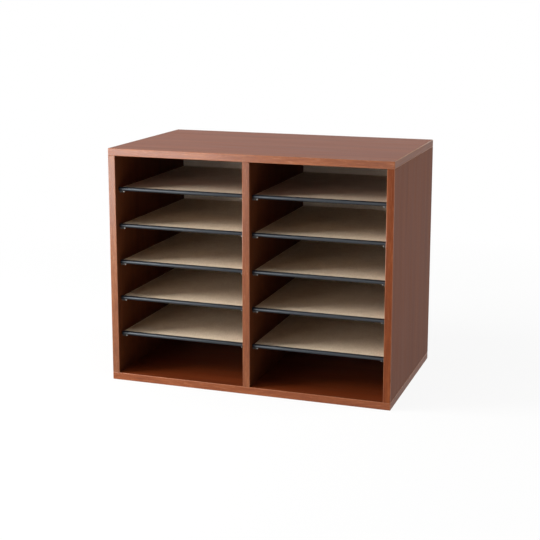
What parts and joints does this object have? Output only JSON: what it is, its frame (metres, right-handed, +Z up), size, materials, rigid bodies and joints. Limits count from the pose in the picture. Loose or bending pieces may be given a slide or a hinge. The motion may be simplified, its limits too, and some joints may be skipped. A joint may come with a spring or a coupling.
{
  "type": "pigeonhole mail sorter",
  "caption": "Open-front laminated desktop sorter with a centre divider and columns of thin pull-out hardboard shelves, each with a black bullnose moulding, resting on metal shelf pins.",
  "frame": {"origin": "middle of the case's underside: centre of the width and depth, at the resting face", "axes": "+X to the right as seen from the open front, +Y from the open front to the back, +Z up"},
  "size_m": [0.4952, 0.2984, 0.4064],
  "materials": {
    "cherry_laminate": "satin",
    "hardboard": "matte",
    "black_moulding": "satin",
    "nickel_pin": "polished"
  },
  "bodies": {
    "case": {"bottom_panel": "cherry_laminate", "top_panel": "cherry_laminate", "left_side_panel": "cherry_laminate", "center_divider": "cherry_laminate", "right_side_panel": "cherry_laminate", "back_panel": "hardboard", "shelf_pin_left_front_1": "nickel_pin", "shelf_pin_left_front_2": "nickel_pin", "shelf_pin_left_front_3": "nickel_pin", "shelf_pin_left_front_4": "nickel_pin", "shelf_pin_left_front_5": "nickel_pin", "shelf_pin_left_rear_1": "nickel_pin", "shelf_pin_left_rear_2": "nickel_pin", "shelf_pin_left_rear_3": "nickel_pin", "shelf_pin_left_rear_4": "nickel_pin", "shelf_pin_left_rear_5": "nickel_pin", "shelf_pin_center_front_1": "nickel_pin", "shelf_pin_center_front_2": "nickel_pin", "shelf_pin_center_front_3": "nickel_pin", "shelf_pin_center_front_4": "nickel_pin", "shelf_pin_center_front_5": "nickel_pin", "shelf_pin_center_rear_1": "nickel_pin", "shelf_pin_center_rear_2": "nickel_pin", "shelf_pin_center_rear_3": "nickel_pin", "shelf_pin_center_rear_4": "nickel_pin", "shelf_pin_center_rear_5": "nickel_pin", "shelf_pin_right_front_1": "nickel_pin", "shelf_pin_right_front_2": "nickel_pin", "shelf_pin_right_front_3": "nickel_pin", "shelf_pin_right_front_4": "nickel_pin", "shelf_pin_right_front_5": "nickel_pin", "shelf_pin_right_rear_1": "nickel_pin", "shelf_pin_right_rear_2": "nickel_pin", "shelf_pin_right_rear_3": "nickel_pin", "shelf_pin_right_rear_4": "nickel_pin", "shelf_pin_right_rear_5": "nickel_pin"},
    "left_shelf_1": {"shelf_left_1": "hardboard", "shelf_moulding_left_1": "black_moulding"},
    "right_shelf_1": {"shelf_right_1": "hardboard", "shelf_moulding_right_1": "black_moulding"},
    "left_shelf_2": {"shelf_left_2": "hardboard", "shelf_moulding_left_2": "black_moulding"},
    "right_shelf_2": {"shelf_right_2": "hardboard", "shelf_moulding_right_2": "black_moulding"},
    "left_shelf_3": {"shelf_left_3": "hardboard", "shelf_moulding_left_3": "black_moulding"},
    "right_shelf_3": {"shelf_right_3": "hardboard", "shelf_moulding_right_3": "black_moulding"},
    "left_shelf_4": {"shelf_left_4": "hardboard", "shelf_moulding_left_4": "black_moulding"},
    "right_shelf_4": {"shelf_right_4": "hardboard", "shelf_moulding_right_4": "black_moulding"},
    "left_shelf_5": {"shelf_left_5": "hardboard", "shelf_moulding_left_5": "black_moulding"},
    "right_shelf_5": {"shelf_right_5": "hardboard", "shelf_moulding_right_5": "black_moulding"}
  },
  "joints": [
    {"name": "left_shelf_1_pull", "type": "slide", "parent": "case", "child": "left_shelf_1", "axis": [0, -1, 0], "range_m": [0, 0.3]},
    {"name": "right_shelf_1_pull", "type": "slide", "parent": "case", "child": "right_shelf_1", "axis": [0, -1, 0], "range_m": [0, 0.3]},
    {"name": "left_shelf_2_pull", "type": "slide", "parent": "case", "child": "left_shelf_2", "axis": [0, -1, 0], "range_m": [0, 0.3]},
    {"name": "right_shelf_2_pull", "type": "slide", "parent": "case", "child": "right_shelf_2", "axis": [0, -1, 0], "range_m": [0, 0.3]},
    {"name": "left_shelf_3_pull", "type": "slide", "parent": "case", "child": "left_shelf_3", "axis": [0, -1, 0], "range_m": [0, 0.3]},
    {"name": "right_shelf_3_pull", "type": "slide", "parent": "case", "child": "right_shelf_3", "axis": [0, -1, 0], "range_m": [0, 0.3]},
    {"name": "left_shelf_4_pull", "type": "slide", "parent": "case", "child": "left_shelf_4", "axis": [0, -1, 0], "range_m": [0, 0.3]},
    {"name": "right_shelf_4_pull", "type": "slide", "parent": "case", "child": "right_shelf_4", "axis": [0, -1, 0], "range_m": [0, 0.3]},
    {"name": "left_shelf_5_pull", "type": "slide", "parent": "case", "child": "left_shelf_5", "axis": [0, -1, 0], "range_m": [0, 0.3]},
    {"name": "right_shelf_5_pull", "type": "slide", "parent": "case", "child": "right_shelf_5", "axis": [0, -1, 0], "range_m": [0, 0.3]}
  ]
}
